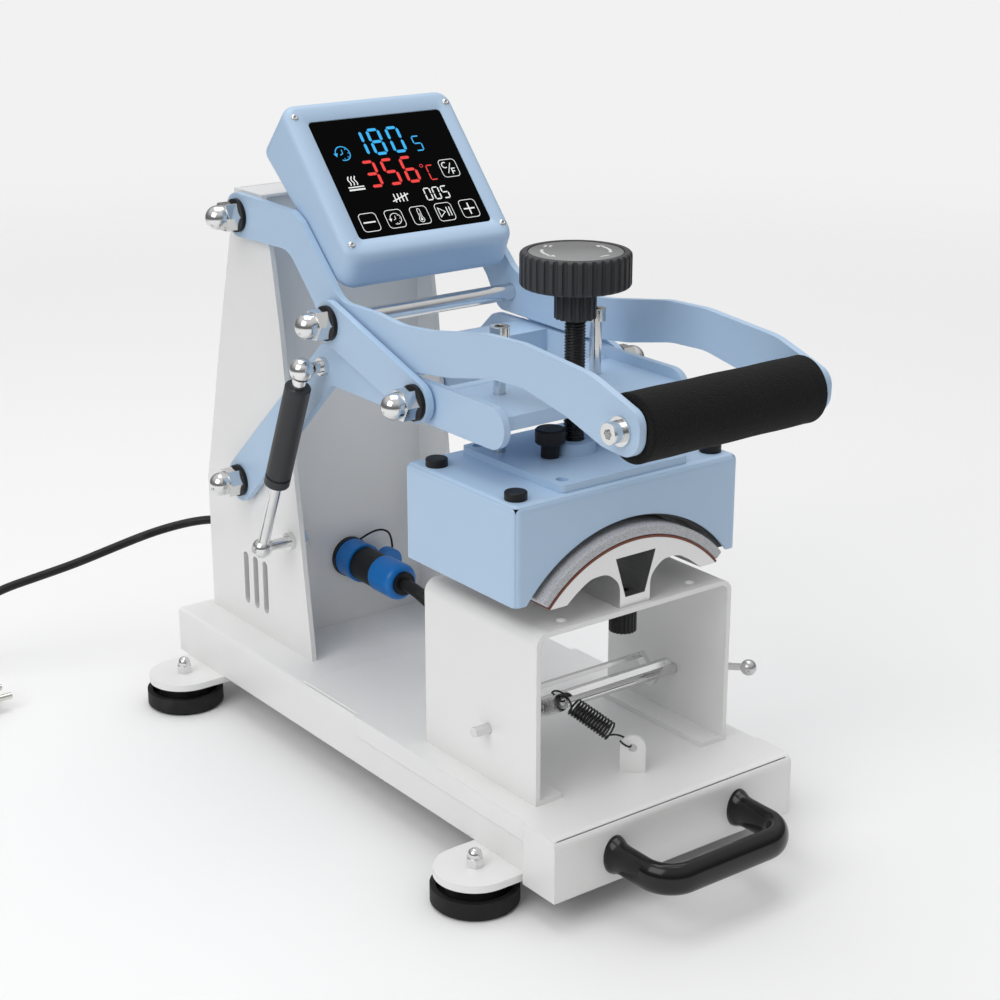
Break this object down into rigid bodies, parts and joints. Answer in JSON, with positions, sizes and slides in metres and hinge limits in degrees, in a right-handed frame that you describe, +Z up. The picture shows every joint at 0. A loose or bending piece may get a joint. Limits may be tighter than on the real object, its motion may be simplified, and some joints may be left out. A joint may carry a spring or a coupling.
{
  "type": "cap heat press",
  "caption": "Cap heat press with a curved heated head, foam-padded lower platen on a pull-out drawer, linked hand lever, gas struts, pressure knob and tilted control display.",
  "frame": {"origin": "centre of the machine's outline on the table, between the rubber feet, without the mains lead", "axes": "+Z up, -Y towards the operator and the drawer handle, +X to the operator's right"},
  "size_m": [0.545, 0.6685, 0.4647],
  "materials": {
    "white_paint": "satin powder coat",
    "blue_paint": "satin powder coat",
    "blue_housing": "painted moulded housing",
    "black_rubber": "moulded",
    "bright_steel": "bright plated",
    "plain_steel": "zinc plated",
    "black_washer": "moulded nylon",
    "black_steel": "black oxide",
    "dark_knob": "moulded",
    "gas_strut": "semi-gloss",
    "connector_blue": "moulded",
    "lead_sheath": "smooth sheath",
    "handle_black": "glossy",
    "cast_alloy": "bare extrusion",
    "coated_heater": "dark non-stick coat",
    "silicone_sheet": "silicone",
    "foam": "closed-cell silicone foam",
    "grip_foam": "cellular foam",
    "display_glass": "glossy black window"
  },
  "bodies": {
    "stand": {"base_frame": "white_paint", "rubber_feet": "black_rubber", "foot_bolts": "bright_steel", "drawer_runners": "plain_steel", "column_shell": "white_paint", "column_back_cover": "white_paint", "pivot_shafts": "bright_steel", "pivot_washers": "black_washer", "pivot_cap_nuts": "bright_steel", "lower_ball_studs": "bright_steel", "socket_flange": "black_washer", "socket_ring": "connector_blue", "plug_body": "black_washer", "plug_collar": "connector_blue", "heater_lead": "lead_sheath", "dust_cap": "connector_blue", "dust_cap_tether": "black_washer", "mains_strain_relief": "black_rubber", "mains_lead": "lead_sheath", "mains_coil": "lead_sheath", "mains_plug": "black_washer"},
    "rocker": {"switch_rocker": "black_washer"},
    "drawer": {"drawer_tray": "white_paint", "slide_bars": "plain_steel", "bow_handle": "handle_black", "platen_bridge": "white_paint", "lower_platen": "cast_alloy", "rubber_sheet": "silicone_sheet", "foam_pad": "foam", "spring_post": "white_paint", "stretch_spring": "black_steel"},
    "clamp_knob": {"platen_knob": "black_washer"},
    "stretcher": {"bail_frame": "bright_steel", "bail_ball": "plain_steel"},
    "lever": {"lever_frame": "blue_paint", "link_shaft": "bright_steel", "lever_washers": "black_washer", "lever_cap_nuts": "bright_steel", "grip_core": "plain_steel", "foam_grip": "grip_foam", "grip_bolts": "bright_steel", "display_housing": "blue_housing", "display_glass": "display_glass"},
    "links": {"link_plates": "blue_paint", "link_studs": "bright_steel", "link_washers": "black_washer"},
    "swing": {"swing_frame": "blue_paint", "upper_ball_studs": "bright_steel"},
    "strut_rod": {"strut_rods": "bright_steel"},
    "strut_tube": {"strut_tubes": "gas_strut"},
    "head": {"heat_cover": "blue_paint", "heater_platen": "coated_heater", "head_plate": "blue_paint", "cover_caps": "black_washer", "guide_bolts": "bright_steel", "lead_gland": "black_washer"},
    "thumb": {"thumb_screw": "black_washer"},
    "pressure": {"pressure_screw": "black_steel", "pressure_knob": "dark_knob"}
  },
  "joints": [
    {"name": "drawer_slide", "type": "slide", "parent": "stand", "child": "drawer", "axis": [0, -1, 0], "range_m": [0, 0.11]},
    {"name": "lever_hinge", "type": "hinge", "parent": "stand", "child": "lever", "pos_m": [0, 0.1857, 0.3832], "axis": [-1, 0, 0], "range_deg": [0, 85]},
    {"name": "link_hinge", "type": "hinge", "parent": "lever", "child": "links", "pos_m": [0, 0.0576, 0.3308], "axis": [1, 0, 0], "range_deg": [0, 126]},
    {"name": "swing_hinge", "type": "hinge", "parent": "stand", "child": "swing", "pos_m": [0, 0.1992, 0.1806], "axis": [-1, 0, 0], "range_deg": [0, 34.6]},
    {"name": "strut_foot_hinge", "type": "hinge", "parent": "stand", "child": "strut_rod", "pos_m": [0, 0.1387, 0.1481], "axis": [-1, 0, 0], "range_deg": [0, 30.2]},
    {"name": "strut_slide", "type": "slide", "parent": "strut_rod", "child": "strut_tube", "axis": [0, -0.3937, 0.9192], "range_m": [0, 0.0385]},
    {"name": "head_slide", "type": "slide", "parent": "swing", "child": "head", "axis": [0, 0, 1], "range_m": [-0.002, 0.01]},
    {"name": "pressure_turn", "type": "hinge", "parent": "head", "child": "pressure", "pos_m": [0, -0.103, 0.35], "axis": [0, 0, 1], "range_deg": [-361, 1801]},
    {"name": "thumb_turn", "type": "hinge", "parent": "head", "child": "thumb", "pos_m": [-0.021, -0.105, 0.275], "axis": [0, 0, 1], "range_deg": [0, 360]},
    {"name": "clamp_turn", "type": "hinge", "parent": "drawer", "child": "clamp_knob", "pos_m": [0, -0.155, 0.165], "axis": [0, 0, 1], "range_deg": [0, 360]},
    {"name": "stretcher_hinge", "type": "hinge", "parent": "drawer", "child": "stretcher", "pos_m": [0, -0.1195, 0.098], "axis": [1, 0, 0], "range_deg": [-60, 15], "stiffness_Nm_per_rad": 0.6, "deforming": ["stretch_spring"]},
    {"name": "switch_hinge", "type": "hinge", "parent": "stand", "child": "rocker", "pos_m": [0, 0.22767, 0.3], "axis": [1, 0, 0], "range_deg": [0, 12]}
  ],
  "couplings": [
    {"joint": "link_hinge", "follows": "lever_hinge", "ratio": 1.479},
    {"joint": "swing_hinge", "follows": "lever_hinge", "ratio": 0.4068},
    {"joint": "strut_foot_hinge", "follows": "lever_hinge", "ratio": 0.354},
    {"joint": "strut_slide", "follows": "lever_hinge", "m_per_rad": 0.0258},
    {"joint": "pressure_turn", "follows": "head_slide", "rad_per_m": 3141.6}
  ]
}
